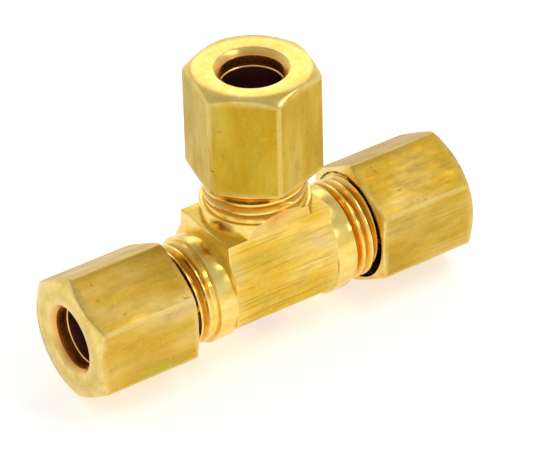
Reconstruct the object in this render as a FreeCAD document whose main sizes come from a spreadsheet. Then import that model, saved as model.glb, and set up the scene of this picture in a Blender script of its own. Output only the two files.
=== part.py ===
import FreeCAD, Part
import os
import Sketcher
from FreeCAD import Placement, Rotation, Vector

# Brass compression tee for 1/4 in (6.35 mm) tube, in millimetres.
#
# A tee body carries three threaded ports.  On each port a hexagonal nut squeezes a plain ring, the
# sleeve, between its own inner cone and the seat in the mouth of the port.  The run lies along X, the
# branch points up along +Z, and the origin is the point where the three port axes meet.
#
# The driving dimensions.  Distances named end, top, face, start or stop are measured from the origin
# along a port's axis; nut_... and sleeve_... depths are measured inwards from the piece's outer end.
DIMENSIONS = {
    # tee body: the extruded core between the ports, a section in Y and Z that runs along X
    "core_half_length": 6.45,
    "core_top": 6.93,
    "core_top_half_width": 4.45,
    "core_waist_half_width": 4.6,
    "core_waist_height": 5.1,
    "core_half_width": 5.85,
    "core_shoulder_height": 2.85,
    "core_side_drop": 2.35,
    "core_bottom_half_width": 2.3,
    "core_bottom_drop": 5.45,
    "core_edge_radius": 1.5,
    "core_bottom_radius": 1.0,
    "flare_top": 10.6,
    "flare_half_width": 5.56,
    # tee body: the turned ports
    "collar_radius": 5.9,
    "run_collar_end": 8.5,
    "branch_collar_end": 8.7,
    "thread_radius": 5.52,
    "thread_root_radius": 4.91,
    "thread_pitch": 1.0583,
    "thread_root_half_width": 0.066,
    "thread_flank": 0.5774,
    "thread_first_turn": 9.4,
    "port_end": 15.8,
    "port_chamfer": 0.57,
    # tee body: what the tube and the flow pass through
    "flow_radius": 2.4,
    "socket_stop": 9.0,
    "socket_stop_slope": 0.3,
    "socket_radius": 3.2,
    "seat_depth": 1.7,
    "seat_radius": 4.3,
    # compression nut
    "nut_across_flats": 12.7,
    "nut_length": 11.9,
    "nut_edge_radius": 0.3,
    "nut_chamfer_radius": 6.2,
    "nut_face_chamfer_drop": 0.8,
    "nut_mouth_chamfer_drop": 0.4,
    "nut_corner_radius": 7.6,
    "nut_hole_radius": 3.32,
    "nut_countersink_radius": 3.94,
    "nut_countersink_depth": 0.6,
    "nut_wall": 1.6,
    "nut_cone_depth": 3.5,
    "nut_bore_radius": 5.02,
    "nut_mouth_radius": 5.9,
    "nut_mouth_depth": 0.75,
    "nut_thread_start": 5.0,
    "nut_thread_root_radius": 5.64,
    "nut_thread_inner_radius": 4.95,
    "thread_clearance": 0.06,
    # sleeve
    "sleeve_length": 5.2,
    "sleeve_radius": 4.0,
    "sleeve_end_radius": 3.5,
    "sleeve_bevel": 1.1,
    "sleeve_bore_radius": 3.22,
    "sleeve_bore_chamfer": 0.12,
    "sleeve_gap": 0.03,
    # where each nut stands on its port: distance of its outer face, and turn of one hexagon corner
    "left_nut_face": 23.42,
    "left_nut_turn": 61.5,
    "right_nut_face": 23.75,
    "right_nut_turn": -1.2,
    "branch_nut_face": 24.28,
    "branch_nut_turn": 197.65,
}

# Each port's axis is +Z turned about Y by this many degrees.
PORT_TILT = {"left": -90.0, "right": 90.0, "branch": 0.0}

X_AXIS = Vector(1, 0, 0)
Y_AXIS = Vector(0, 1, 0)
Z_AXIS = Vector(0, 0, 1)
H_LINE = -1
V_LINE = -2

doc = FreeCAD.newDocument("compression_tee")
sheet = doc.addObject("Spreadsheet::Sheet", "Sheet")
for row, (alias, value) in enumerate(DIMENSIONS.items(), start=1):
    sheet.set(f"A{row}", alias)
    sheet.set(f"B{row}", str(value))
    sheet.setAlias(f"B{row}", alias)
doc.recompute()


def from_sheet(text):
    """Turn a formula in plain aliases, such as "port_end - seat_depth", into one that names the sheet."""
    words = [f"Sheet.{word}" if word in DIMENSIONS else word for word in text.split()]
    return " ".join(words)


def size(text):
    """Value of a formula in plain aliases."""
    return float(sheet.evalExpression(from_sheet(text)))


def new_body(name):
    body = doc.addObject("PartDesign::Body", name)
    body.Label = name
    return body


def new_sketch(body, name, role, turn=Rotation()):
    """Sketch on one of the body's own origin planes, turned within that plane or about a line in it."""
    sketch = body.newObject("Sketcher::SketchObject", name)
    plane = next(item for item in body.Origin.OriginFeatures if item.Role == role)
    sketch.AttachmentSupport = [(plane, "")]
    sketch.MapMode = "FlatFace"
    sketch.AttachmentOffset = Placement(Vector(), turn)
    return sketch


def pin_down(sketch, constraint_type, geometry, text):
    """Distance of a line's start from the origin, bound to the sheet; a zero puts it on the axis."""
    value = size(text)
    if value == 0:
        axis = V_LINE if constraint_type == "DistanceX" else H_LINE
        sketch.addConstraint(Sketcher.Constraint("PointOnObject", geometry, 1, axis))
        return
    index = sketch.addConstraint(Sketcher.Constraint(constraint_type, H_LINE, 1, geometry, 1, value))
    sketch.setExpression(f"Constraints[{index}]", from_sheet(text))


def outline(sketch, corners):
    """Closed outline of straight lines through corners given as pairs of formulas."""
    points = [Vector(size(across), size(along), 0) for across, along in corners]
    for start, end in zip(points, points[1:] + points[:1]):
        sketch.addGeometry(Part.LineSegment(start, end), False)
    for number, (across, along) in enumerate(corners):
        following = (number + 1) % len(corners)
        sketch.addConstraint(Sketcher.Constraint("Coincident", number, 2, following, 1))
        pin_down(sketch, "DistanceX", number, across)
        pin_down(sketch, "DistanceY", number, along)


def mirrored_outline(sketch, corners):
    """Outline of the given right-hand corners, closed by their mirror image across the vertical axis."""
    points = [Vector(size(across), size(along), 0) for across, along in corners]
    images = [Vector(-point.x, point.y, 0) for point in reversed(points)]
    ring = points + images
    for start, end in zip(ring, ring[1:] + ring[:1]):
        sketch.addGeometry(Part.LineSegment(start, end), False)
    for line in range(len(ring)):
        sketch.addConstraint(Sketcher.Constraint("Coincident", line, 2, (line + 1) % len(ring), 1))
    for line, (across, along) in enumerate(corners):
        pin_down(sketch, "DistanceX", line, across)
        pin_down(sketch, "DistanceY", line, along)
        image = len(ring) - 1 - line
        sketch.addConstraint(Sketcher.Constraint("Symmetric", line, 1, image, 1, V_LINE))


def turn_profile(body, kind, name, corners, turn=Rotation()):
    """Revolution or Groove of an outline in X and Z about the sketch's vertical axis."""
    sketch = new_sketch(body, f"{name}_sketch", "XZ_Plane", turn)
    outline(sketch, corners)
    feature = body.newObject(f"PartDesign::{kind}", name)
    feature.Profile = sketch
    feature.ReferenceAxis = (sketch, ["V_Axis"])
    feature.Angle = 360
    doc.recompute()
    return feature


def cut_thread(body, name, corners, length, turn=Rotation()):
    """Right-hand thread groove: an outline swept along a helix about the sketch's vertical axis."""
    sketch = new_sketch(body, f"{name}_sketch", "XZ_Plane", turn)
    outline(sketch, corners)
    feature = body.newObject("PartDesign::SubtractiveHelix", name)
    feature.Profile = sketch
    feature.ReferenceAxis = (sketch, ["V_Axis"])
    feature.Mode = "pitch-height-angle"
    feature.setExpression("Pitch", from_sheet("thread_pitch"))
    feature.setExpression("Height", from_sheet(length))
    doc.recompute()
    return feature


def cut_flow_bore(body, name, role, both_ways):
    """Round hole from an origin plane, through everything on one side or on both."""
    sketch = new_sketch(body, f"{name}_sketch", role)
    sketch.addGeometry(Part.Circle(Vector(), Z_AXIS, size("flow_radius")), False)
    sketch.addConstraint(Sketcher.Constraint("Coincident", 0, 3, H_LINE, 1))
    radius = sketch.addConstraint(Sketcher.Constraint("Radius", 0, size("flow_radius")))
    sketch.setExpression(f"Constraints[{radius}]", from_sheet("flow_radius"))
    pocket = body.newObject("PartDesign::Pocket", name)
    pocket.Profile = sketch
    pocket.Type = "ThroughAll"
    pocket.Midplane = both_ways
    pocket.Reversed = not both_ways
    doc.recompute()
    return pocket


def round_edges(body, name, base, positions, radius):
    """Fillet the straight edges of base whose middles lie at the given places."""
    edges = []
    for number, edge in enumerate(base.Shape.Edges, start=1):
        middle = edge.CenterOfMass
        if any(middle.distanceToPoint(position) < 0.01 for position in positions):
            edges.append(f"Edge{number}")
    fillet = body.newObject("PartDesign::Fillet", name)
    fillet.Base = (base, edges)
    fillet.setExpression("Radius", from_sheet(radius))
    doc.recompute()
    return fillet


def port_rotation(port):
    """Turns a sketch on the XZ plane so that its vertical axis is the port's axis."""
    return Rotation(Z_AXIS, -PORT_TILT[port])


def thread_phase(port):
    """Turn of the body's thread about the port at which its ridge stands in the nut's groove."""
    lead = "thread_first_turn + nut_thread_start + thread_pitch / 2"
    turns = size(f"( {lead} - {port}_nut_face ) / thread_pitch")
    return size(f"{port}_nut_turn") + 360.0 * turns


def make_tee_body():
    body = new_body("tee_body")

    section = new_sketch(body, "core_section", "YZ_Plane")
    mirrored_outline(section, [
        ("core_bottom_half_width", "0 - core_bottom_drop"),
        ("core_half_width", "0 - core_side_drop"),
        ("core_half_width", "core_shoulder_height"),
        ("core_waist_half_width", "core_waist_height"),
        ("core_top_half_width", "core_top"),
    ])
    core = body.newObject("PartDesign::Pad", "core")
    core.Profile = section
    core.Midplane = True
    core.setExpression("Length", from_sheet("2 * core_half_length"))
    doc.recompute()

    def both_sides(across, height):
        return [Vector(0, sign * size(across), size(height)) for sign in (-1, 1)]

    shoulders = both_sides("core_half_width", "core_shoulder_height")
    waists = both_sides("core_waist_half_width", "core_waist_height")
    core = round_edges(body, "core_shoulders", core, shoulders + waists, "core_edge_radius")
    sides = both_sides("core_half_width", "0 - core_side_drop")
    bottoms = both_sides("core_bottom_half_width", "0 - core_bottom_drop")
    round_edges(body, "core_bottom_edges", core, sides + bottoms, "core_bottom_radius")

    for port in PORT_TILT:
        collar_start = "core_top" if port == "branch" else "core_half_length"
        collar_end = "branch_collar_end" if port == "branch" else "run_collar_end"
        turn_profile(body, "Revolution", f"{port}_port", [
            ("0", collar_start),
            ("collar_radius", collar_start),
            ("collar_radius", collar_end),
            ("thread_radius", collar_end),
            ("thread_radius", "port_end - port_chamfer"),
            ("thread_radius - port_chamfer", "port_end"),
            ("0", "port_end"),
        ], port_rotation(port))

    # The branch is turned from the same extruded section, which flares out above the core: the collar
    # keeps two flat, flared sides.
    flare = new_sketch(body, "flare_section", "YZ_Plane")
    corners = [
        ("core_top_half_width", "core_top"),
        ("2 * core_half_width", "core_top"),
        ("2 * core_half_width", "flare_top"),
        ("flare_half_width", "flare_top"),
    ]
    outline(flare, corners)
    trim = body.newObject("PartDesign::Pocket", "branch_flats")
    trim.Profile = flare
    trim.Type = "ThroughAll"
    trim.Midplane = True
    doc.recompute()
    second = body.newObject("PartDesign::Mirrored", "branch_flats_mirrored")
    second.Originals = [trim]
    second.MirrorPlane = (flare, ["V_Axis"])
    body.Tip = second
    doc.recompute()

    cut_flow_bore(body, "run_bore", "YZ_Plane", True)
    cut_flow_bore(body, "branch_bore", "XY_Plane", False)
    for port in PORT_TILT:
        turn_profile(body, "Groove", f"{port}_socket", [
            ("0", "socket_stop - socket_stop_slope"),
            ("flow_radius", "socket_stop - socket_stop_slope"),
            ("socket_radius", "socket_stop"),
            ("socket_radius", "port_end - seat_depth"),
            ("seat_radius", "port_end"),
            ("0", "port_end"),
        ], port_rotation(port))

    reach = "thread_radius + 0.1"
    flank = f"thread_root_half_width + ( {reach} - thread_root_radius ) * thread_flank"
    for port in PORT_TILT:
        cut_thread(body, f"{port}_thread", [
            ("thread_root_radius", "thread_first_turn - thread_root_half_width"),
            (reach, f"thread_first_turn - ( {flank} )"),
            (reach, f"thread_first_turn + ( {flank} )"),
            ("thread_root_radius", "thread_first_turn + thread_root_half_width"),
        ], "port_end - thread_first_turn + thread_pitch",
            port_rotation(port) * Rotation(Y_AXIS, thread_phase(port)))
    return body


def make_nut(name):
    """Nut with its outer face on Z = 0, its mouth towards +Z and one corner of the hexagon at +X."""
    body = new_body(name)
    hexagon = new_sketch(body, f"{name}_hexagon", "XY_Plane")
    corner_radius = "nut_across_flats / sqrt(3)"
    corner = Vector(size(corner_radius), 0, 0)
    points = [Rotation(Z_AXIS, 60 * side).multVec(corner) for side in range(6)]
    for start, end in zip(points, points[1:] + points[:1]):
        hexagon.addGeometry(Part.LineSegment(start, end), False)
    circle = hexagon.addGeometry(Part.Circle(Vector(), Z_AXIS, corner.x), True)
    hexagon.addConstraint(Sketcher.Constraint("Coincident", circle, 3, H_LINE, 1))
    hexagon.addConstraint(Sketcher.Constraint("PointOnObject", 0, 1, H_LINE))
    for side in range(6):
        hexagon.addConstraint(Sketcher.Constraint("Coincident", side, 2, (side + 1) % 6, 1))
        hexagon.addConstraint(Sketcher.Constraint("PointOnObject", side, 1, circle))
    for side in range(1, 6):
        hexagon.addConstraint(Sketcher.Constraint("Equal", 0, side))
    radius = hexagon.addConstraint(Sketcher.Constraint("Radius", circle, corner.x))
    hexagon.setExpression(f"Constraints[{radius}]", from_sheet(corner_radius))
    prism = body.newObject("PartDesign::Pad", f"{name}_prism")
    prism.Profile = hexagon
    prism.setExpression("Length", from_sheet("nut_length"))
    doc.recompute()
    middles = [point + Vector(0, 0, size("nut_length") / 2) for point in points]
    round_edges(body, f"{name}_edges", prism, middles, "nut_edge_radius")

    turn_profile(body, "Groove", f"{name}_outer_chamfer", [
        ("nut_chamfer_radius", "0"),
        ("nut_corner_radius", "0"),
        ("nut_corner_radius", "nut_face_chamfer_drop"),
    ])
    turn_profile(body, "Groove", f"{name}_inner_chamfer", [
        ("nut_chamfer_radius", "nut_length"),
        ("nut_corner_radius", "nut_length"),
        ("nut_corner_radius", "nut_length - nut_mouth_chamfer_drop"),
    ])
    turn_profile(body, "Groove", f"{name}_bore", [
        ("0", "0"),
        ("nut_countersink_radius", "0"),
        ("nut_hole_radius", "nut_countersink_depth"),
        ("nut_hole_radius", "nut_wall"),
        ("nut_bore_radius", "nut_cone_depth"),
        ("nut_bore_radius", "nut_length - nut_mouth_depth"),
        ("nut_mouth_radius", "nut_length"),
        ("0", "nut_length"),
    ])
    root = "thread_pitch / 2 - thread_root_half_width + thread_clearance"
    wide = f"{root} - ( nut_thread_inner_radius - thread_root_radius ) * thread_flank"
    narrow = f"{root} - ( nut_thread_root_radius - thread_root_radius ) * thread_flank"
    cut_thread(body, f"{name}_thread", [
        ("nut_thread_inner_radius", f"nut_thread_start - ( {wide} )"),
        ("nut_thread_root_radius", f"nut_thread_start - ( {narrow} )"),
        ("nut_thread_root_radius", f"nut_thread_start + ( {narrow} )"),
        ("nut_thread_inner_radius", f"nut_thread_start + ( {wide} )"),
    ], "nut_length - nut_thread_start + thread_pitch")
    return body


def make_sleeve(name):
    """Sleeve with its outer end on Z = 0 and its inner end towards +Z."""
    body = new_body(name)
    turn_profile(body, "Revolution", f"{name}_ring", [
        ("sleeve_bore_radius + sleeve_bore_chamfer", "0"),
        ("sleeve_end_radius", "0"),
        ("sleeve_radius", "sleeve_bevel"),
        ("sleeve_radius", "sleeve_length - sleeve_bevel"),
        ("sleeve_end_radius", "sleeve_length"),
        ("sleeve_bore_radius + sleeve_bore_chamfer", "sleeve_length"),
        ("sleeve_bore_radius", "sleeve_length - sleeve_bore_chamfer"),
        ("sleeve_bore_radius", "sleeve_bore_chamfer"),
    ])
    return body


def stand_on_port(body, port, distance, corner_turn):
    """Place a piece made from its outer end inwards: outer end at distance, its +X at corner_turn."""
    tilt = Rotation(Y_AXIS, PORT_TILT[port])
    spin = Rotation(Z_AXIS, corner_turn)
    upside_down = Rotation(X_AXIS, 180)
    outwards = tilt.multVec(Z_AXIS)
    body.Placement = Placement(outwards * distance, tilt * spin * upside_down)


tee_body = make_tee_body()
pieces = [tee_body]
# The cone inside the nut meets the sleeve's outer end at this depth below the nut's outer face.
nut_cone = "( nut_cone_depth - nut_wall ) / ( nut_bore_radius - nut_hole_radius )"
sleeve_depth = f"nut_wall + ( sleeve_end_radius - nut_hole_radius ) * {nut_cone} + sleeve_gap"
for port in PORT_TILT:
    nut = make_nut(f"{port}_nut")
    stand_on_port(nut, port, size(f"{port}_nut_face"), size(f"{port}_nut_turn"))
    sleeve = make_sleeve(f"{port}_sleeve")
    stand_on_port(sleeve, port, size(f"{port}_nut_face - ( {sleeve_depth} )"), 0)
    pieces += [nut, sleeve]
doc.recompute()

for item in doc.Objects:
    if "Invalid" in item.State or "Error" in item.State:
        raise RuntimeError(f"{item.Label} did not recompute: {item.State}")
for piece in pieces:
    if piece.Shape.isNull() or not piece.Shape.isValid() or len(piece.Shape.Solids) != 1:
        raise RuntimeError(f"{piece.Label} is not one valid solid")

os.makedirs("parts", exist_ok=True)
for piece in pieces:
    piece.Shape.exportStep(f"parts/{piece.Label}.step")
    print(f"{piece.Label}: {piece.Shape.Volume:.1f} cubic mm, {len(piece.Shape.Faces)} faces")
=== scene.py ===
# %% [markdown]
# # A brass compression tee
# Three pieces of small copper tube meet in this fitting. Each one goes through a hexagonal nut and
# a loose sleeve into a threaded port of the tee. Everything is brass, turned or milled from bar.
# This lesson starts from the measured model, and gives it the finish of the real thing.

# %% The measured model
import math

import bmesh
import bpy
from mathutils import Matrix, Vector


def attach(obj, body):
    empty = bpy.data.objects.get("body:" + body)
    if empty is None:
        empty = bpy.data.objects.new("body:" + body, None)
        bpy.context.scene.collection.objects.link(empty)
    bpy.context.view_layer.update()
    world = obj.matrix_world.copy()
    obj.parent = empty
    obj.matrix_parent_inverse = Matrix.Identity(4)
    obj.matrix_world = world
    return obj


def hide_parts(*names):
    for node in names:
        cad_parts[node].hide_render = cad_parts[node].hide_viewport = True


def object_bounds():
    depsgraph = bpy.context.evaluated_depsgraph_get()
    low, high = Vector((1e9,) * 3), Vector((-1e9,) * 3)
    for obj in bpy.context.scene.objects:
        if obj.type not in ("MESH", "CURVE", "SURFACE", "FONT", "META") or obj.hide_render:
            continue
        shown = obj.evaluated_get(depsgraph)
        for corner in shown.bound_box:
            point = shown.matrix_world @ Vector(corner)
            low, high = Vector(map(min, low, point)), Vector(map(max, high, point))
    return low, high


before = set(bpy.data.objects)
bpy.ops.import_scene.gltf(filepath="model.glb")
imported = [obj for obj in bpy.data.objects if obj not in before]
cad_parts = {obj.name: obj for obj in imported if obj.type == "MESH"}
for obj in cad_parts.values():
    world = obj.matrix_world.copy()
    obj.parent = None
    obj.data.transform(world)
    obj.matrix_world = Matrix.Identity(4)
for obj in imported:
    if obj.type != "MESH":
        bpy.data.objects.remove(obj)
cad_low, cad_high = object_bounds()
MM = 0.001
print("the model's box in mm:", [round(v / MM, 2) for v in cad_low], [round(v / MM, 2) for v in cad_high])


# %% [markdown]
# ## Where we stand
# The viewer stands at the fitting's front left, a little above it, and looks from far away through
# a long lens, so that parallel edges stay nearly parallel. A camera's place is easiest to give as
# an angle round the object, an angle above the floor and a distance.

# %% Camera
CAMERA_TURN, CAMERA_RISE, CAMERA_ROLL = -33.9526, 34.8669, -1.3531
CAMERA_AWAY, CAMERA_ASIDE, CAMERA_UP = 425.651 * MM, 2.2625 * MM, 3.0056 * MM
CAMERA_LENS = 261.63

turn, rise, roll = (math.radians(a) for a in (CAMERA_TURN, CAMERA_RISE, CAMERA_ROLL))
towards_viewer = Vector((math.sin(turn) * math.cos(rise), -math.cos(turn) * math.cos(rise), math.sin(rise)))
level_right = Vector((math.cos(turn), math.sin(turn), 0))
level_up = towards_viewer.cross(level_right)
view_right = math.cos(roll) * level_right + math.sin(roll) * level_up
view_up = math.cos(roll) * level_up - math.sin(roll) * level_right

camera = bpy.data.objects.new("camera", bpy.data.cameras.new("camera"))
camera.data.lens = CAMERA_LENS
camera.data.sensor_width = 36
camera.data.clip_start, camera.data.clip_end = 0.01, 20
placing = Matrix((view_right, view_up, towards_viewer)).transposed().to_4x4()
placing.translation = towards_viewer * CAMERA_AWAY + view_right * CAMERA_ASIDE + view_up * CAMERA_UP
camera.matrix_world = placing
bpy.context.collection.objects.link(camera)
bpy.context.scene.camera = camera
print("camera at", [round(v, 4) for v in placing.translation])


# %% [markdown]
# ## The floor and the light
# Polished brass has hardly any look of its own: it shows what stands round it. A white floor and a
# pale room give it its yellow, and a few soft boxes close by give it highlights that fade across
# each flat.

# %% Floor
bm = bmesh.new()
bmesh.ops.create_grid(bm, x_segments=1, y_segments=1, size=3)
bmesh.ops.translate(bm, vec=(0, 0, cad_low[2] - 0.02 * MM), verts=bm.verts)
floor_mesh = bpy.data.meshes.new("floor")
bm.to_mesh(floor_mesh)
bm.free()
floor = bpy.data.objects.new("floor", floor_mesh)
bpy.context.collection.objects.link(floor)
floor_paint = bpy.data.materials.new("floor_white")
floor_paint.use_nodes = True
floor_paint.node_tree.nodes["Principled BSDF"].inputs["Base Color"].default_value = (0.93, 0.93, 0.93, 1)
floor_paint.node_tree.nodes["Principled BSDF"].inputs["Roughness"].default_value = 0.9
floor_paint.node_tree.nodes["Principled BSDF"].inputs["Emission Color"].default_value = (1, 1, 1, 1)
floor_paint.node_tree.nodes["Principled BSDF"].inputs["Emission Strength"].default_value = 0.45
floor_mesh.materials.append(floor_paint)

# %% Room and lights
scene = bpy.context.scene
scene.view_settings.view_transform = "Standard"
world = bpy.data.worlds.new("room")
world.use_nodes = True
sky = world.node_tree
upwards = sky.nodes.new("ShaderNodeSeparateXYZ")
sky.links.new(sky.nodes.new("ShaderNodeTexCoord").outputs["Generated"], upwards.inputs["Vector"])
shade = sky.nodes.new("ShaderNodeMapRange")
shade.inputs["From Min"].default_value, shade.inputs["From Max"].default_value = 0.25, 0.8
shade.inputs["To Min"].default_value, shade.inputs["To Max"].default_value = 0.86, 0.50
sky.links.new(upwards.outputs["Z"], shade.inputs["Value"])
sky.links.new(shade.outputs["Result"], sky.nodes["Background"].inputs["Strength"])
sky.nodes["Background"].inputs["Color"].default_value = (1, 1, 1, 1)
scene.world = world


def soft_box(name, place, target, width, height, power, tint=(1, 1, 1)):
    """Hangs a soft box at a place in mm, facing a target."""
    light = bpy.data.lights.new(name, "AREA")
    light.shape, light.size, light.size_y = "RECTANGLE", width * MM, height * MM
    light.energy, light.color = power, tint
    lamp = bpy.data.objects.new(name, light)
    lamp.location = Vector(place) * MM
    lamp.rotation_euler = (Vector(place) - Vector(target)).to_track_quat("Z", "Y").to_euler()
    bpy.context.collection.objects.link(lamp)
    return lamp


soft_box("key", (132, -90, 250), (0, 0, 5), 170, 42, 0.10)
soft_box("front", (140, -225, 150), (0, 0, 5), 55, 60, 0.045)
soft_box("back", (170, 250, 210), (0, 0, 10), 220, 160, 0.10)
soft_box("side", (-230, -220, 60), (0, 0, 0), 60, 160, 0.02)
print("lights hung")


# %% [markdown]
# ## Brass
# Bright brass is a pale yellow metal. The tints on a real fitting come from cutting oil, from
# handling and from the metal's own crystals, so the colour wanders a little from place to place.
# Tools leave fine lines, and bar stock has faint streaks along its length. All of these are noise
# patterns at different sizes, in millimetres of the object itself. Light and shade are painted in as
# well: deep orange in thread roots, dark in holes and bores, and darker or lighter copies of the
# brass for the nuts.

# %% Brass recipe
def add_node(tree, kind, **settings):
    node = tree.nodes.new(kind)
    for key, value in settings.items():
        if key in node.inputs:
            node.inputs[key].default_value = value
        else:
            setattr(node, key, value)
    return node


def join(tree, source, target):
    tree.links.new(source, target)


def noise(tree, coords, size, stretch=(1, 1, 1), detail=3, roughness=0.5):
    """Noise whose spots are about size mm across, drawn out by stretch."""
    place = add_node(tree, "ShaderNodeMapping")
    place.inputs["Scale"].default_value = [1 / (size * MM * s) for s in stretch]
    join(tree, coords, place.inputs["Vector"])
    spots = add_node(tree, "ShaderNodeTexNoise", Scale=1.0, Detail=detail, Roughness=roughness)
    join(tree, place.outputs["Vector"], spots.inputs["Vector"])
    return spots.outputs["Fac"]


def ramp(tree, value, *stops):
    node = add_node(tree, "ShaderNodeValToRGB")
    join(tree, value, node.inputs["Fac"])
    marks = node.color_ramp.elements
    marks[0].position, marks[0].color = stops[0][0], (*stops[0][1], 1)
    marks[1].position, marks[1].color = stops[-1][0], (*stops[-1][1], 1)
    for at, colour in stops[1:-1]:
        marks.new(at).color = (*colour, 1)
    return node.outputs["Color"]


def mix(tree, amount, first, second, blend="MIX"):
    node = add_node(tree, "ShaderNodeMix", data_type="RGBA", blend_type=blend)
    if isinstance(amount, float):
        node.inputs[0].default_value = amount
    else:
        join(tree, amount, node.inputs[0])
    join(tree, first, node.inputs[6])
    join(tree, second, node.inputs[7])
    return node.outputs[2]


def grey(tree, value, low, high, from_low=0.3, from_high=0.7):
    node = add_node(tree, "ShaderNodeMapRange")
    node.inputs["From Min"].default_value = from_low
    node.inputs["From Max"].default_value = from_high
    node.inputs["To Min"].default_value = low
    node.inputs["To Max"].default_value = high
    join(tree, value, node.inputs["Value"])
    return node.outputs["Result"]


def attribute(tree, name):
    return add_node(tree, "ShaderNodeAttribute", attribute_name=name).outputs["Fac"]


def times(tree, first, second, operation="MULTIPLY"):
    node = add_node(tree, "ShaderNodeMath", operation=operation)
    for socket, value in zip(node.inputs, (first, second)):
        if isinstance(value, (int, float)):
            socket.default_value = value
        else:
            join(tree, value, socket)
    return node.outputs["Value"]


def plain(tree, colour):
    node = add_node(tree, "ShaderNodeRGB")
    node.outputs[0].default_value = (*colour, 1)
    return node.outputs[0]


DEEP, GOLD, PALE = (0.74, 0.43, 0.03), (0.84, 0.55, 0.08), (0.92, 0.68, 0.19)
OLIVE, ROSE, EDGE = (0.58, 0.45, 0.10), (0.88, 0.60, 0.30), (0.97, 0.77, 0.30)
GREEN = (0.60, 0.50, 0.04)
# The deep orange is painted shade for thread roots, where light bounces between the flanks.
# The purple-brown goes into the deepest bores: painted shade, with a purple tint of tarnish.
GROOVE_SHADE_ORANGE, BORE_SHADE_AND_TARNISH = (0.74, 0.34, 0.02), (0.36, 0.16, 0.19)


def brass(name, along, shine, painted_light=(1, 1, 1), lines_shown=0.3, cut_painted_light=(1, 1, 1)):
    """Brass with its bar's streaks along one axis: along is (1, 0, 0) for X.

    The first tint is painted light and shade on the bar's own surface, and the second on the surfaces that a tool
    has cut: each copy of the brass is made darker or lighter for how the light falls on its piece.
    """
    material = bpy.data.materials.new(name)
    material.use_nodes = True
    tree = material.node_tree
    shader = tree.nodes["Principled BSDF"]
    shader.inputs["Metallic"].default_value = 1.0
    coords = add_node(tree, "ShaderNodeTexCoord").outputs["Object"]
    wear, groove, inside, drawn = (attribute(tree, layer) for layer in ("wear", "groove", "inside", "drawn"))
    lines, long_lines = ([1 + reach * axis for axis in along] for reach in (9, 26))

    clouds = noise(tree, coords, 4.0, [1 + 1.5 * axis for axis in along], detail=3)
    streaks = noise(tree, coords, 0.42, lines, detail=4, roughness=0.65)
    scratches = noise(tree, coords, 0.22, long_lines, detail=2)
    speckle = noise(tree, coords, 0.5, detail=4, roughness=0.7)
    blotches = noise(tree, coords, 1.5, [1 + 1.2 * axis for axis in along], detail=4, roughness=0.65)

    bar = ramp(tree, clouds, (0.30, GREEN), (0.42, DEEP), (0.52, GOLD), (0.62, PALE), (0.70, ROSE))
    bar = mix(tree, 0.25, bar, ramp(tree, streaks, (0.34, DEEP), (0.5, GOLD), (0.66, PALE)))
    bar = mix(tree, grey(tree, blotches, 0.0, 0.45, 0.48, 0.68), bar, plain(tree, OLIVE))
    bar = mix(tree, grey(tree, speckle, 0.0, 0.35, 0.52, 0.68), bar, plain(tree, PALE))
    # Painted light and shade: the bar's own surface is darkened or lightened by the first tint.
    bar = mix(tree, 1.0, bar, plain(tree, painted_light), "MULTIPLY")
    drawing = noise(tree, coords, 0.24, long_lines, detail=2)
    bar = mix(tree, grey(tree, drawing, 0, lines_shown, 0.54, 0.66), bar, plain(tree, (0.42, 0.22, 0.02)))
    cut = ramp(tree, blotches, (0.3, GOLD), (0.7, PALE))
    # Painted light and shade on the cut surfaces, by the second tint.
    cut = mix(tree, 1.0, cut, plain(tree, cut_painted_light), "MULTIPLY")
    colour = mix(tree, drawn, cut, bar)
    # Painted shade: thread roots turn deep orange, as light bounced between the flanks would make them.
    colour = mix(tree, grey(tree, groove, 0, 1, 0.0, 0.4), colour, plain(tree, GROOVE_SHADE_ORANGE))
    bright = times(tree, wear, grey(tree, blotches, 0.1, 0.5, 0.35, 0.6))
    colour = mix(tree, bright, colour, plain(tree, EDGE))
    # Painted shade inside holes and bores: orange-brown on the nut's hole wall, brown further in, and purple-brown
    # at the deepest, which is shade with a tint of tarnish.
    painted_bore_shade = ramp(tree, inside, (0.3, (0.78, 0.40, 0.10)), (0.6, (0.46, 0.20, 0.08)), (1.0, BORE_SHADE_AND_TARNISH))
    colour = mix(tree, grey(tree, inside, 0, 1, 0.0, 0.3), colour, painted_bore_shade)
    join(tree, colour, shader.inputs["Base Color"])

    bar_rough = times(tree, grey(tree, blotches, 0, 0.16), grey(tree, streaks, shine, shine + 0.12), "ADD")
    cut_rough = grey(tree, speckle, shine - 0.08, shine + 0.02)
    rough = times(tree, drawn, times(tree, bar_rough, cut_rough, "SUBTRACT"))
    rough = times(tree, rough, cut_rough, "ADD")
    join(tree, times(tree, rough, times(tree, inside, 0.15), "ADD"), shader.inputs["Roughness"])

    heights = [(noise(tree, coords, 2.2, [1 + 2 * axis for axis in along], detail=2), 0.7, 0.05),
               (streaks, 0.3, 0.010), (scratches, 0.25, 0.005), (speckle, 0.6, 0.016),
               (drawing, lines_shown, 0.02)]
    pits = noise(tree, coords, 0.9, detail=1)
    heights.append((grey(tree, pits, 0, -1, 0.70, 0.78), 0.9, 0.05))
    normal = None
    for height, strength, depth in heights:
        bump = add_node(tree, "ShaderNodeBump", Distance=depth * MM)
        join(tree, height, bump.inputs["Height"])
        join(tree, grey(tree, drawn, 0.1 * strength, strength, 0, 1), bump.inputs["Strength"])
        if normal:
            join(tree, normal, bump.inputs["Normal"])
        normal = bump.outputs["Normal"]
    join(tree, normal, shader.inputs["Normal"])
    return material


body_brass = brass("body_brass", (1, 0, 0), 0.24, (1.0, 1.0, 1.0), 0.5)
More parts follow.
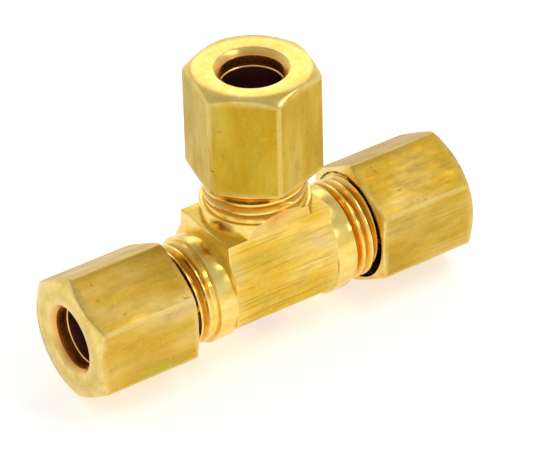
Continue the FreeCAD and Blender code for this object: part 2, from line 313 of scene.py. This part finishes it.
# The nuts get lit and shaded copies of the brass, painted light and shade for how each nut lies to the lamps: the
# lying ones darker, the upright one darker and yellower on its flats and lighter on its cut ends.
bar_x_brass = brass("nut_brass_lying", (1, 0, 0), 0.28, (0.84, 0.82, 0.82), 0.15, (0.80, 0.82, 0.84))
bar_x_brass_shaded = brass("nut_brass_shaded", (1, 0, 0), 0.30, (0.74, 0.72, 0.66), 0.35, (0.86, 0.84, 0.80))
bar_z_brass = brass("nut_brass_upright", (0, 0, 1), 0.28, (0.69, 0.69, 0.36), 0.1, (1.05, 1.03, 1.05))
sleeve_brass = brass("sleeve_brass", (1, 0, 0), 0.24)


# %% [markdown]
# ## Tools of the workshop
# Nearly everything here was cut on a lathe, so nearly every surface is a row of rings round an axis.
# One helper grows the next ring from the last one. It keeps each point's angle, so a hexagon can
# run into a circle. Rings that should be soft are bevelled once the shape stands. Shapes are made
# in millimetres, with the axis along Z, and are turned to their port at the very end.

# %% Rings
def at(radius, height):
    """Where a ring's points go: to a radius round Z and a height, each at its own angle."""
    def place(point):
        flat = Vector((point.x, point.y, 0)).normalized() * radius
        return Vector((flat.x, flat.y, height))
    return place


def next_ring(bm, ring, place):
    grown = bmesh.ops.extrude_edge_only(bm, edges=ring)["geom"]
    for point in grown:
        if isinstance(point, bmesh.types.BMVert):
            point.co = place(point.co)
    return [edge for edge in grown if isinstance(edge, bmesh.types.BMEdge)]


def soften(bm, rings, width, segments=2):
    edges = [edge for ring in rings for edge in ring if edge.is_valid]
    bmesh.ops.bevel(bm, geom=edges, affect="EDGES", offset=width, segments=segments, profile=0.5,
                    material=-1)


def finished(bm, name, place, node, body, material, marks):
    """Turns a shape in mm into a piece that stands in its place and rides on its body.

    marks(point) says how deep in a groove and how far inside a hole a point is, from 0 to 1, and
    marks(face) whether a face is left from the drawn bar.
    """
    bmesh.ops.remove_doubles(bm, verts=bm.verts, dist=0.001)
    bmesh.ops.recalc_face_normals(bm, faces=bm.faces)
    wear, groove, inside = (bm.verts.layers.float.new(layer) for layer in ("wear", "groove", "inside"))
    drawn = bm.faces.layers.float.new("drawn")
    for point in bm.verts:
        turns = [edge.calc_face_angle_signed(0) for edge in point.link_edges]
        point[wear] = 1.0 if max(turns) > math.radians(12) else 0.0
        point[groove], point[inside] = marks.depth(point.co)
    for face in bm.faces:
        face[drawn] = 1.0 if marks.from_bar(face.calc_center_median(), face.normal) else 0.0
    bmesh.ops.transform(bm, matrix=Matrix.Scale(MM, 4) @ place, verts=bm.verts)
    bmesh.ops.recalc_face_normals(bm, faces=bm.faces)
    open_edges = sum(edge.is_boundary for edge in bm.edges)
    mesh = bpy.data.meshes.new(name)
    bm.to_mesh(mesh)
    bm.free()
    mesh.shade_smooth()
    mesh.set_sharp_from_angle(angle=math.radians(32))
    mesh.materials.append(material)
    piece = bpy.data.objects.new(name, mesh)
    bpy.context.collection.objects.link(piece)
    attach(piece, body)
    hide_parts(node)
    print(name, "has", len(mesh.polygons), "faces and", open_edges, "open edges")
    return piece


# %% [markdown]
# ## Screw threads
# A thread is a small profile carried round the axis while it climbs. `spin` does exactly that when
# it is given a step along the axis as well. The profile is one pitch long, so each turn's end meets
# the next turn's start, and merging joins them. Planes then cut the screw off square.

# %% Thread
PITCH = 1.0583
THREAD_STEPS = 96


def screw(profile, first, turns):
    """A screw surface from z = first. profile lists (radius, height) over one pitch."""
    bm = bmesh.new()
    points = [bm.verts.new((radius, 0, first + height)) for radius, height in profile]
    edges = [bm.edges.new(pair) for pair in zip(points, points[1:])]
    bmesh.ops.spin(bm, geom=points + edges, cent=(0, 0, 0), axis=(0, 0, 1),
                   dvec=(0, 0, PITCH / THREAD_STEPS), angle=math.tau * turns,
                   steps=THREAD_STEPS * turns, use_merge=False)
    bmesh.ops.remove_doubles(bm, verts=bm.verts, dist=0.0005)
    return bm


def cut_square(bm, height, keep_above):
    """Cuts the screw at a height and returns the loop of cut edges."""
    cut = bmesh.ops.bisect_plane(bm, geom=bm.verts[:] + bm.edges[:] + bm.faces[:], dist=0.0002,
                                 plane_co=(0, 0, height), plane_no=(0, 0, 1),
                                 clear_outer=not keep_above, clear_inner=keep_above)
    return [edge for edge in cut["geom_cut"] if isinstance(edge, bmesh.types.BMEdge)]


# %% [markdown]
# ## Ports
# Where each port points, and how far out its nut and sleeve stand. The nut's corner is turned to
# where it happened to stop when the nut was run up by hand.

# %% Ports
TILT = {"left": -90, "right": 90, "branch": 0}
NUT_FACE = {"left": 23.42, "right": 23.75, "branch": 24.28}
NUT_TURN = {"left": 61.5, "right": -1.2, "branch": 197.65}
SLEEVE_INSIDE = 1.8312


def turned_to(port):
    return Matrix.Rotation(math.radians(TILT[port]), 4, "Y")


def on_port(port, distance, turn):
    """Stands a piece, made with its outer end on Z = 0, on a port."""
    return (turned_to(port) @ Matrix.Translation((0, 0, distance))
            @ Matrix.Rotation(math.radians(turn), 4, "Z") @ Matrix.Rotation(math.pi, 4, "X"))


# %% [markdown]
# ## Compression nuts
# The nut is cut from hexagonal bar. The lathe chamfers both of its ends with a shallow cone, which
# leaves the curved edge on each flat. The outer end has a hole for the tube with a countersink, and
# the inner end has the thread.

# %% Nut
NUT_FLATS, NUT_LENGTH, NUT_EDGE = 12.7, 11.9, 0.7
NUT_CHAMFER, FACE_SLOPE, MOUTH_SLOPE = 6.2, 0.8 / 1.4, 0.4 / 1.4
NUT_HOLE, NUT_SINK, NUT_SINK_DEPTH = 3.32, 3.94, 0.6
NUT_WALL, NUT_CONE, NUT_BORE = 1.6, 3.5, 5.02
NUT_MOUTH, NUT_MOUTH_DEPTH = 5.75, 0.75
NUT_GROOVE, NUT_GROOVE_START = 5.64, 5.0


def clamp(value):
    return min(1.0, max(0.0, value))


class NutMarks:
    """Where a nut's surface lies, by its own radius and height in mm, for the painted shade there."""

    def depth(point):
        radius = math.hypot(point.x, point.y)
        # Painted shade: orange in the inner thread's roots, orange-brown on the tube's hole wall, and darker brown
        # deeper in from the mouth.
        groove = clamp((radius - NUT_BORE) / 0.6) if 4.6 < point.z < 11.1 and radius < 5.7 else 0.0
        inside = 0.0
        if 0.5 < point.z < NUT_WALL + 0.1 and radius < 3.5:
            inside = 0.3
        elif NUT_WALL < point.z < 11.7 and radius < 5.7:
            inside = 0.25 + 0.55 * clamp((11.0 - point.z) / 0.5)
        return groove, inside

    def from_bar(centre, normal):
        return abs(normal.z) < 0.3 and math.hypot(centre.x, centre.y) > 6.2


def chamfer_height(point, slope):
    return max(0.0, math.hypot(point.x, point.y) - NUT_CHAMFER) * slope


def make_nut(port, material):
    bm = bmesh.new()
    bmesh.ops.create_circle(bm, cap_ends=True, radius=NUT_FLATS / math.sqrt(3), segments=6)
    bmesh.ops.rotate(bm, verts=bm.verts, cent=(0, 0, 0), matrix=Matrix.Rotation(math.radians(30), 3, "Z"))
    bmesh.ops.bevel(bm, geom=bm.verts[:], affect="VERTICES", offset=NUT_EDGE * math.tan(math.pi / 6),
                    segments=4, profile=0.5, material=-1)
    bmesh.ops.delete(bm, geom=bm.faces[:], context="FACES_ONLY")
    bmesh.ops.subdivide_edges(bm, edges=[e for e in bm.edges if e.calc_length() > 1], cuts=11)

    # The flats, from the outer chamfer to the inner one.
    for point in bm.verts:
        point.co.z = chamfer_height(point.co, FACE_SLOPE)
    outer_rim = bm.edges[:]
    ring = outer_rim
    for height in (1.0, 2.5, 4.5, 6.8, 8.8, NUT_LENGTH - 0.75):
        ring = next_ring(bm, ring, lambda p: Vector((p.x, p.y, height)))
    inner_rim = next_ring(bm, ring, lambda p: Vector((p.x, p.y, NUT_LENGTH - chamfer_height(p, MOUTH_SLOPE))))
    mouth_side = next_ring(bm, inner_rim, at(NUT_CHAMFER, NUT_LENGTH))

    # The outer face, the countersink and the tube's hole.
    face = next_ring(bm, outer_rim, at(NUT_CHAMFER, 0))
    face = next_ring(bm, face, at(5.1, 0))
    sink = next_ring(bm, face, at(NUT_SINK, 0))
    hole = next_ring(bm, sink, at(NUT_HOLE, NUT_SINK_DEPTH))
    inside = next_ring(bm, hole, at(NUT_HOLE, NUT_WALL))
    inside = next_ring(bm, inside, at(NUT_BORE, NUT_CONE))
    inside = next_ring(bm, inside, at(NUT_BORE, 4.5))
    soften(bm, [outer_rim, inner_rim], 0.11)
    soften(bm, [sink, hole], 0.07)
    for point in bm.verts:
        point.co.z = clamp(point.co.z / NUT_LENGTH) * NUT_LENGTH

    # The thread, with its groove where the helix starts at the corner on +X.
    profile = [(NUT_GROOVE, 0), (NUT_GROOVE, 0.1016), (NUT_BORE, 0.4596), (NUT_BORE, 0.5987),
               (NUT_GROOVE, PITCH - 0.1016), (NUT_GROOVE, PITCH)]
    thread = screw(profile, NUT_GROOVE_START - 2 * PITCH, 10)
    lead = NUT_LENGTH - NUT_MOUTH_DEPTH
    for point in thread.verts:
        mouth = NUT_BORE + (point.co.z - lead) * (NUT_MOUTH - NUT_BORE) / NUT_MOUTH_DEPTH
        if point.co.z > lead and math.hypot(point.co.x, point.co.y) < mouth:
            point.co = at(mouth, point.co.z)(point.co)
    low = cut_square(thread, NUT_GROOVE_START - 0.1, True)
    next_ring(thread, low, at(NUT_BORE, NUT_GROOVE_START - 0.1))
    high = cut_square(thread, NUT_LENGTH, False)
    next_ring(thread, high, at(6.0, NUT_LENGTH))
    thread_mesh = bpy.data.meshes.new("thread")
    thread.to_mesh(thread_mesh)
    thread.free()
    bm.from_mesh(thread_mesh)
    bpy.data.meshes.remove(thread_mesh)
    rims = [edge for edge in bm.edges if edge.is_boundary]
    bottoms = [e for e in rims if e.verts[0].co.z < 6]
    tops = [e for e in rims if e.verts[0].co.z > 6]
    bmesh.ops.bridge_loops(bm, edges=bottoms)
    bmesh.ops.bridge_loops(bm, edges=tops)
    return finished(bm, port + "_nut_turned", on_port(port, NUT_FACE[port], NUT_TURN[port]),
                    port + "_nut", port + "_nut", material, NutMarks)


nuts = {"left": make_nut("left", bar_x_brass), "right": make_nut("right", bar_x_brass_shaded),
        "branch": make_nut("branch", bar_z_brass)}

# %% [markdown]
# ## Sleeves
# The sleeve is a short ring with both ends bevelled outside. The nut's cone squeezes it onto the
# tube. A closed section, softened at its corners, is spun round the axis.

# %% Sleeve
SLEEVE_SECTION = [(3.34, 0), (3.5, 0), (4.0, 1.1), (4.0, 4.1), (3.5, 5.2), (3.34, 5.2), (3.22, 5.08),
                  (3.22, 0.12)]


class SleeveMarks:
    def depth(point):
        # Painted shade: the sleeve's bore is coloured fully dark, as deep inside a hole.
        return 0.0, 1.0 if math.hypot(point.x, point.y) < 3.3 and point.z > 0.1 else 0.0

    def from_bar(centre, normal):
        return False


def make_sleeve(port):
    bm = bmesh.new()
    corners = [bm.verts.new((radius, 0, height)) for radius, height in SLEEVE_SECTION]
    bm.faces.new(corners)
    bmesh.ops.bevel(bm, geom=corners, affect="VERTICES", offset=0.05, segments=2, profile=0.5, material=-1)
    bmesh.ops.delete(bm, geom=bm.faces[:], context="FACES_ONLY")
    bmesh.ops.spin(bm, geom=bm.verts[:] + bm.edges[:], cent=(0, 0, 0), axis=(0, 0, 1), dvec=(0, 0, 0),
                   angle=math.tau, steps=96, use_merge=True)
    return finished(bm, port + "_sleeve_turned", on_port(port, NUT_FACE[port] - SLEEVE_INSIDE, 0),
                    port + "_sleeve", port + "_sleeve", sleeve_brass, SleeveMarks)


sleeves = [make_sleeve(port) for port in TILT]


# %% [markdown]
# ## The tee's core
# The middle of the tee comes from extruded bar with a ten sided section: a flat top, a slanting
# shoulder on each side, upright sides and slanting undersides. The section is drawn once as a face,
# its corners are rounded, and it is drawn out along the run.

# %% Core
CORE_HALF = 6.45
CORE_SECTION = [(2.3, -5.45, 1.0), (5.85, -2.35, 1.0), (5.85, 2.85, 1.5), (4.6, 5.1, 1.5), (4.45, 6.93, 0.1)]


def make_core():
    bm = bmesh.new()
    sides = CORE_SECTION + [(-y, z, r) for y, z, r in reversed(CORE_SECTION)]
    corners = [bm.verts.new((-CORE_HALF, y, z)) for y, z, r in sides]
    bm.faces.new(corners)
    for corner, (y, z, radius) in zip(corners, sides):
        reach = radius * math.tan(corner.calc_edge_angle() / 2)
        bmesh.ops.bevel(bm, geom=[corner], affect="VERTICES", offset=reach, segments=6, profile=0.5,
                        material=-1)
    drawn = bmesh.ops.extrude_face_region(bm, geom=bm.faces[:])["geom"]
    bmesh.ops.translate(bm, vec=(2 * CORE_HALF, 0, 0), verts=[v for v in drawn if isinstance(v, bmesh.types.BMVert)])
    ends = [e for e in bm.edges if abs(e.verts[0].co.x - e.verts[1].co.x) < 0.001]
    soften(bm, [ends], 0.12)
    bmesh.ops.subdivide_edges(bm, edges=[e for e in bm.edges if abs(e.verts[0].co.x - e.verts[1].co.x) > 5],
                              cuts=7, use_grid_fill=False)
    bmesh.ops.recalc_face_normals(bm, faces=bm.faces)
    return bm


# %% [markdown]
# ## The ports of the tee
# Each port is turned: a shiny collar, a slightly smaller blank, and the thread. The thread's groove
# grows shallow towards the collar, where the cutter ran out. On the branch the collar keeps the bar's flat, flaring sides.

# %% Port barrel
COLLAR, PORT_END, PORT_CHAMFER = 5.9, 15.8, 0.57
CREST, ROOT = 5.52, 4.91
FIRST_TURN, RUN_OUT, RUN_OUT_END = 9.4, 9.7, 9.0
COLLAR_START = {"left": 6.45, "right": 6.45, "branch": 6.93}
COLLAR_END = {"left": 8.5, "right": 8.5, "branch": 8.7}


def thread_turn(port):
    """How far the body's helix is turned, so that its ridge stands in the nut's groove."""
    lead = FIRST_TURN + NUT_GROOVE_START + PITCH / 2
    return NUT_TURN[port] / 360 + (lead - NUT_FACE[port]) / PITCH


def make_barrel(port):
    profile = [(ROOT, 0), (ROOT, 0.05), (ROOT + 0.02, 0.085), (CREST - 0.035, 0.40), (CREST - 0.008, 0.425),
               (CREST, 0.455), (CREST, PITCH - 0.455), (CREST - 0.008, PITCH - 0.425),
               (CREST - 0.035, PITCH - 0.40), (ROOT + 0.02, PITCH - 0.085), (ROOT, PITCH - 0.05), (ROOT, PITCH)]
    climb = -thread_turn(port) % 1
    bm = screw(profile, FIRST_TURN + (climb - 3) * PITCH, 11)
    for point in bm.verts:
        widest = CREST - max(0.0, point.co.z - (PORT_END - PORT_CHAMFER))
        fade = min(1.0, max(0.0, (RUN_OUT - point.co.z) / (RUN_OUT - RUN_OUT_END)))
        narrowest = ROOT + fade * (CREST - ROOT)
        radius = max(narrowest, min(widest, math.hypot(point.co.x, point.co.y)))
        point.co = at(radius, point.co.z)(point.co)
    low = cut_square(bm, RUN_OUT_END, True)
    high = cut_square(bm, PORT_END, False)
    end = next_ring(bm, high, at(4.7, PORT_END))
    bmesh.ops.edgeloop_fill(bm, edges=end)
    collar_start, collar_end = COLLAR_START[port], COLLAR_END[port]
    ring = next_ring(bm, low, at(CREST, collar_end))
    collar_rim = ring = next_ring(bm, ring, at(COLLAR, collar_end))
    ring = next_ring(bm, ring, at(COLLAR, collar_start - 0.004))
    ring = next_ring(bm, ring, at(4.2, collar_start - 0.004))
    ring = next_ring(bm, ring, at(4.2, collar_start - 1.0))
    bmesh.ops.edgeloop_fill(bm, edges=ring)
    soften(bm, [collar_rim], 0.12)
    bmesh.ops.recalc_face_normals(bm, faces=bm.faces)
    if port == "branch":
        rise, lean = 10.6 - 6.93, 5.56 - 4.45
        for side in (-1, 1):
            cut = bmesh.ops.bisect_plane(bm, geom=bm.verts[:] + bm.edges[:] + bm.faces[:], dist=0.0002,
                                         plane_co=(0, side * 4.45, 6.93), plane_no=(0, side * rise, -lean),
                                         clear_outer=True)
            bmesh.ops.holes_fill(bm, edges=[e for e in cut["geom_cut"] if isinstance(e, bmesh.types.BMEdge)])
        bmesh.ops.recalc_face_normals(bm, faces=bm.faces)
    bmesh.ops.transform(bm, matrix=turned_to(port), verts=bm.verts)
    return bm


# %% [markdown]
# ## Drilling
# The passages are drilled last, as in the factory: a hole right through the run, one down the
# branch, and a wider socket with a cone at its mouth in each port. A drill is half its outline spun
# round its axis. A Boolean modifier joins the core with its barrels and takes the drills away.

# %% Drills
BRANCH_DRILL = [(2.4, 0), (2.4, 8.7), (3.2, 9.0), (3.2, 14.1), (4.3, 15.8), (4.9, 16.72)]
RUN_DRILL = [(radius, -height) for radius, height in BRANCH_DRILL[:0:-1]] + BRANCH_DRILL[1:]


def make_drill(section, port):
    bm = bmesh.new()
    points = [bm.verts.new((radius, 0, height)) for radius, height in section]
    edges = [bm.edges.new(pair) for pair in zip(points, points[1:])]
    bmesh.ops.spin(bm, geom=points + edges, cent=(0, 0, 0), axis=(0, 0, 1), dvec=(0, 0, 0),
                   angle=math.tau, steps=72, use_merge=True)
    bmesh.ops.holes_fill(bm, edges=[e for e in bm.edges if e.is_boundary])
    bmesh.ops.recalc_face_normals(bm, faces=bm.faces)
    bmesh.ops.transform(bm, matrix=turned_to(port), verts=bm.verts)
    return bm


def stock(bm, name):
    mesh = bpy.data.meshes.new(name)
    bm.to_mesh(mesh)
    bm.free()
    piece = bpy.data.objects.new(name, mesh)
    bpy.context.collection.objects.link(piece)
    return piece


def work(piece, tool, operation):
    modifier = piece.modifiers.new(operation, "BOOLEAN")
    modifier.operation, modifier.object, modifier.solver = operation, tool, "EXACT"
    worked = bpy.data.meshes.new_from_object(piece.evaluated_get(bpy.context.evaluated_depsgraph_get()))
    piece.modifiers.clear()
    piece.data = worked
    bpy.data.objects.remove(tool)


# %% Tee body
tee = stock(make_core(), "tee_rough")
for port in TILT:
    work(tee, stock(make_barrel(port), "barrel"), "UNION")
work(tee, stock(make_drill(RUN_DRILL, "right"), "drill"), "DIFFERENCE")
work(tee, stock(make_drill(BRANCH_DRILL, "branch"), "drill"), "DIFFERENCE")
tee_shape = bmesh.new()
tee_shape.from_mesh(tee.data)
bpy.data.objects.remove(tee)


class TeeMarks:
    def depth(point):
        # Painted shade: orange in the thread roots, and darker inside the sockets and right through the drilled
        # passages.
        groove = inside = 0.0
        for port in TILT:
            local = turned_to(port).inverted() @ point
            radius = math.hypot(local.x, local.y)
            if local.z > 2 and radius < 5.9:
                if local.z > RUN_OUT_END - 0.1 and radius > 4.8:
                    groove = clamp((CREST - 0.04 - radius) / 0.22) * clamp((15.4 - local.z) / 0.3)
                if local.z < PORT_END - 0.05 and radius < 4.2:
                    inside = clamp((4.3 - radius) / 1.0)
            elif radius < 2.5 and abs(local.z) < 7:
                inside = 1.0
        return groove, inside

    def from_bar(centre, normal):
        side = abs(centre.x) < 6.4 and abs(normal.x) < 0.1 and centre.z < 6.95 and centre.length > 3
        flare = abs(normal.x) < 0.03 and abs(normal.y) > 0.9 and 6.9 < centre.z < 10.6
        return side or flare


tee_piece = finished(tee_shape, "tee_body_turned", Matrix(), "tee_body", "tee_body", body_brass,
                     TeeMarks)
